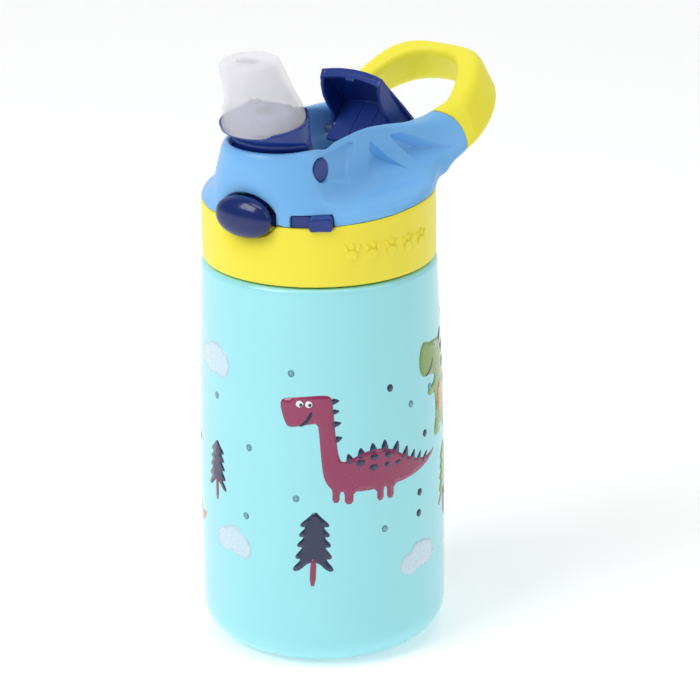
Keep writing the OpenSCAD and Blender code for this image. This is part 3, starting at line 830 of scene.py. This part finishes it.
inside = [(-30.2, 48.3, 4.4, 3.8, 6), (-29.9, 47.9, 6.4, 6.3, 6.4), (-29.2, 46.0, 7.4, 7.4, 7.2),
    (-27.8, 43.0, 7.8, 7.8, 8.4)]
inside += [(-26.7, 40.4, 8.2, 8.1, 9.4), (-25.7, 37.4, 9.4, 8.8, 10.6), (-24.9, 34.0, 11.3, 9.5, 12.0),
    (-24.6, 31.6, 11.7, 9.7, 12.8)]
rings = smooth_rings(outside) + smooth_rings(top)[1:] + smooth_rings(inside)[1:]
verts, quads = loft(rings, True)
verts[:, 2] += MOUTH_Z
make("spout_mouthpiece", verts, quads, "spout_unit", SILICONE, "spout")


def cone_oval(x, y, z, low, high):
    """Distance-like field of an elliptical cone between two rows (z, yc, a, b)."""
    t = (z - low[0]) / (high[0] - low[0])
    yc, a, b = (low[i] + (high[i] - low[i]) * t for i in (1, 2, 3))
    return (np.sqrt((x / a) ** 2 + ((y - yc) / b) ** 2) - 1) * np.minimum(a, b)


def carrier_field(x, y, z):
    rho = from_axis(y, z, SPOUT_AXIS)
    drum = poly(np.abs(x), rho, [(-1, -1), (10.2, -1), (10.2, 6.2), (8.2, 8.2), (4.5, 9.8), (-1, 9.8)])
    cup = cone_oval(x, y, z, (21.0, -21.3, 12.9, 9.2), (31.2, -24.4, 13.8, 11.3))
    rim = z - (31.55 + 0.215 * (y + 24.5) + 2.4 * step(y, -20.5, -14.5))
    cup = smax(cup, rim, 0.5)
    cup = smax(cup, 17.5 - z, 4.0)
    line = np.maximum(np.abs(y + 18.4 + 0.12 * (z - 26)) - 0.22, -cup - 0.25)
    cup = smax(cup, -line, 0.2)
    # the socket that the silicone sits in, and the core that fills its lower end
    hollow = cone_oval(x, y, z, (26.5, -23.2, 11.6, 9.0), (31.5, -24.5, 12.75, 10.8))
    hollow = smax(hollow, 27.0 - z, 1.0)
    cup = smax(cup, -hollow, 0.3)
    core = cone_oval(x, y, z, (28.0, -24.0, 10.6, 8.3), (37.5, -25.4, 9.0, 7.4))
    core = smax(core, z - 34.0 - 0.16 * (y + 25), 1.5)
    core = smax(core, 24.0 - z, 1.0)
    trunnion = smax(rho - TRUNNION_R, np.abs(x) - 16.75, 0.5)
    d = smin(smin(drum, cup, 1.6), core, 0.6)
    d = np.maximum(d, poly(x, y, INNER) + 0.35 + 0.6 * step(z, 25.5, 23.0) - 3.8 * step(z, 25.6, 28.6))
    d = np.maximum(d, np.abs(x) - 14.1)
    # room for the drum's seal when the spout is folded
    groove = np.maximum(np.abs(x) - 4.8, 9.7 - rho)
    groove = np.maximum(groove, (z - 18.5) * 0.56 - (y + 20.0) * 0.83)
    d = np.maximum(d, -groove)
    d = np.minimum(d, trunnion)
    return smax(d, 2.5 - np.hypot(x, y + 20.0 + 0.25 * (z - 18.5)), 0.4)


field_piece(
    "spout_cup", carrier_field, (-18, -37, 7.5), (18, -8.5, 40), 0.4, "spout_unit", NAVY,
        "spout_carrier"
)

# Cover --------------------------------------------------------------------------------------

COVER_SIDE = [(17.6, 36.2), (35.6, 18.2), (33.6, 15.8), (26.5, 13.5)] + arc(23, 16, 2.7, -60, -180, 8)
COVER_SIDE += [(20.2, 22.0), (18.0, 24.9), (16.2, 28.0), (15.3, 31.4), (15.6, 34.0), (16.3, 35.8),
    (17.1, 36.9), (17.5, 36.8)]


def cover_field(x, y, z):
    across = np.abs(x)
    hump = 0.012 * x * x
    out = (y + z - 54.4) * 0.7071 + hump
    wall = smax(poly(y, z, COVER_SIDE), np.abs(across - 10.2) - 0.6, 0.35)
    wall = smax(wall, out + 0.3, 0.3)
    roof = smax(np.abs(out + 0.75) - 0.75, across - 11.0 - 1.1 * step(y - z, -18, 2), 0.7)
    roof = smax(roof, poly(y, z, [(16.2, 35.8), (19.4, 39.0), (40, 20.5), (36.4, 16.6), (33.4, 15.6)]),
        0.5)
    lip = smax(np.abs(y - z + 18.6 - 0.5 * hump) * 0.7071 - 0.75, np.abs(out + 1.4) - 1.4, 0.4)
    lip = smax(lip, across - 10.7, 0.5)
    tab = smax(smax(across - 1.6, np.abs(y - z + 18.4) * 0.7071 - 0.6, 0.3), np.abs(out + 2.9) - 0.7,
        0.3)
    plate = np.abs((y - z - 2.5) * 0.7071) - 0.7
    ridges = (np.abs(np.abs(x) - 3.0) - 0.3) * 0.5
    plate = np.minimum(plate, smax(np.abs((y - z - 2.0) * 0.7071) - 0.75, ridges, 0.3))
    plate = np.maximum(smax(plate, across - 10.0, 0.2),
        poly(y, z, [(17.2, 14.2), (16.4, 15.6), (26.6, 28.6), (30.4, 24.8)]))
    plate = smax(plate, out + 0.4, 0.2)
    boss = np.maximum(from_axis(y, z, COVER_AXIS) - 2.7, np.abs(across - 8.0) - 3.0)
    arm = np.maximum(poly(y, z, [(17.5, 15), (22, 18.6), (25, 15), (22.5, 13.5)]),
        np.abs(across - 7.5) - 2.5)
    d = smin(smin(wall, roof, 0.5), lip, 0.5)
    d = smin(d, tab, 0.3)
    d = smin(d, smin(plate, np.minimum(boss, arm), 0.4), 0.4)
    return np.maximum(d, PIN_HOLE - from_axis(y, z, COVER_AXIS))


field_piece(
    "spout_cover", cover_field, (-13, 12.5, 12), (13, 38, 40), 0.33, "cover_unit", NAVY,
        "cover"
)

# Button and lock ----------------------------------------------------------------------------


def button_field(x, y, z):
    s = ((np.abs(x) / 9.5) ** 2.15 + (np.abs(z - BUTTON_Z) / 5.95) ** 2.15) ** (1 / 2.15)
    back = np.minimum(y + 34.3, 0) / 3.75
    dome = (np.sqrt(s * s + back * back) - 1) * 4.5
    dome = smax(dome, y + 33.4, 0.3)
    stem = np.maximum((np.sqrt((x / 8.2) ** 2 + ((z - BUTTON_Z) / 2.1) ** 2) - 1) * 2.1,
        np.abs(y + 32.2) - 2.4)
    flange = np.maximum(np.maximum(np.abs(x) - 8.4, np.abs(y + 30.3) - 0.6), np.abs(z - 5.3) - 1.6)
    catch = np.maximum(np.maximum(np.abs(x) - 5.8, np.abs(y + 30.3) - 0.6), np.abs(z - 7.55) - 3.85)
    return np.minimum(np.minimum(dome, stem), np.minimum(flange, catch))


field_piece(
    "push_button", button_field, (-11, -39, -0.6), (11, -28.8, 13.4), 0.3, "button_unit", NAVY_DEEP,
        "button"
)


def slider_field(x, y, z):
    r = np.hypot(x, y)
    along = np.arctan2(x, -y) * COLLAR_R
    knob = smax(np.abs(along - 22.9) - 3.3, np.abs(z - 5.2) - 2.15, 1.2)
    dish = 0.35 * (1 - np.minimum(((along - 22.9) / 2.4) ** 2, 1))
    knob = smax(knob, r - 35.2 + dish, 0.9)
    knob = smax(knob, 31.0 - r, 0.2)
    plate = np.maximum(np.abs(along - 20.4) - 6.1, np.abs(z - 5.4) - 1.7)
    plate = np.maximum(plate, np.abs(r - 31.9) - 0.7)
    tip = np.maximum(np.abs(along - 17.2) - 3.5, np.abs(r - 26.9) - 0.7)
    arm = np.maximum(np.abs(along - 19.4) - 1.3, np.abs(r - 28.8) - 2.6)
    tongue = np.maximum(np.minimum(tip, arm), np.abs(z - 4.7) - 0.9)
    return np.minimum(np.minimum(knob, plate), tongue)


field_piece(
    "lock_knob", slider_field, (6, -36, 1.5), (27, -18, 8.6), 0.25, "lock_unit", NAVY,
        "lock_slider"
)

# Carried-over CAD nodes ---------------------------------------------------------------------

FINISHES = {
    STEEL: ("inner_liner", "base_plate"),
    SEAL: ("lid_seal", "vent_valve", "drum_seal"),
    WHITE: ("deck",),
    STRAW: ("straw",),
    SPRING: ("spout_spring", "cover_pin", "cover_spring", "button_spring"),
}
for mat, names in FINISHES.items():
    for name in names:
        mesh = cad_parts[name].data
        mesh.materials.clear()
        mesh.materials.append(mat)

# Stage, light and camera --------------------------------------------------------------------


def plain(name, value, rough):
    mat = bpy.data.materials.new(name)
    mat.use_nodes = True
    shader = mat.node_tree.nodes["Principled BSDF"]
    shader.inputs["Base Color"].default_value = (value, value, value, 1)
    shader.inputs["Roughness"].default_value = rough
    shader.inputs["Emission Color"].default_value = (1, 1, 1, 1)
    shader.inputs["Emission Strength"].default_value = 0.3
    return mat


floor_mesh = bpy.data.meshes.new("floor")
sweep = [(-1.6, 0.0), (0.9, 0.0)] + [(0.9 + p, 0.4 + q) for p,
    q in arc(0, 0, 0.4, -80, 0, 8)] + [(1.3, 2.2)]
floor_verts = [(s, d, h) for d, h in sweep for s in (-2.6, 2.6)]
floor_faces = [(2 * i, 2 * i + 1, 2 * i + 3, 2 * i + 2) for i in range(len(sweep) - 1)]
floor_mesh.from_pydata(floor_verts, [], floor_faces)
floor_mesh.materials.append(plain("floor_white", 0.92, 0.6))
floor_mesh.polygons.foreach_set("use_smooth", [True] * len(floor_mesh.polygons))
floor = bpy.data.objects.new("floor", floor_mesh)
floor.rotation_euler = (0, 0, math.radians(38))
bpy.context.scene.collection.objects.link(floor)

AIM = Vector((0, 0, 0.110))


def softbox(name, azimuth, elevation, distance, width, height, power):
    """A rectangular lamp that looks at the bottle's middle. Azimuth 0 is the bottle's front."""
    a, e = math.radians(azimuth), math.radians(elevation)
    lamp = bpy.data.lights.new(name, "AREA")
    lamp.shape = "RECTANGLE"
    lamp.size, lamp.size_y, lamp.energy = width, height, power
    obj = bpy.data.objects.new(name, lamp)
    obj.location = AIM + distance * Vector((math.sin(a) * math.cos(e), -math.cos(a) * math.cos(e),
        math.sin(e)))
    obj.rotation_euler = (AIM - obj.location).to_track_quat("-Z", "Y").to_euler()
    bpy.context.scene.collection.objects.link(obj)


softbox("key_left", -18, 42, 1.1, 0.6, 0.6, 5.6)
softbox("fill_right", 100, 30, 1.2, 0.5, 0.9, 1.8)
softbox("top", 38, 80, 1.2, 0.8, 0.5, 3.4)

world = bpy.data.worlds.new("studio")
world.use_nodes = True
world.node_tree.nodes["Background"].inputs["Color"].default_value = (0.97, 0.98, 1.0, 1)
world.node_tree.nodes["Background"].inputs["Strength"].default_value = 0.3
bpy.context.scene.world = world
bpy.context.scene.view_settings.view_transform = "Standard"

CAMERA_AZIMUTH, CAMERA_ELEVATION, CAMERA_DISTANCE = 38.0, 18.169, 0.9009
CAMERA_ROLL = -0.903
# focal length over the frame's width, and the aim point's offsets over the focal length
LENS_RATIO = 4.43454286
AIM_RIGHT, AIM_UP = -0.00973655, 0.02486067

azimuth, elevation = math.radians(CAMERA_AZIMUTH), math.radians(CAMERA_ELEVATION)
outward = Vector((math.sin(azimuth) * math.cos(elevation), -math.cos(azimuth) * math.cos(elevation),
    math.sin(elevation)))
lens = bpy.data.cameras.new("camera")
lens.lens = LENS_RATIO * lens.sensor_width
lens.clip_start, lens.clip_end = 0.05, 20
camera = bpy.data.objects.new("camera", lens)
bpy.context.scene.collection.objects.link(camera)
bpy.context.scene.camera = camera
looking = outward.to_track_quat("Z", "Y").to_matrix() @ Matrix.Rotation(math.radians(CAMERA_ROLL), 3,
    "Z")
wanted = Vector((AIM_RIGHT, AIM_UP, -1)).normalized()
turn = wanted.rotation_difference(Vector((0, 0, -1))).to_matrix()
camera.matrix_world = Matrix.Translation(AIM + CAMERA_DISTANCE * outward) @ (looking @ turn).to_4x4()
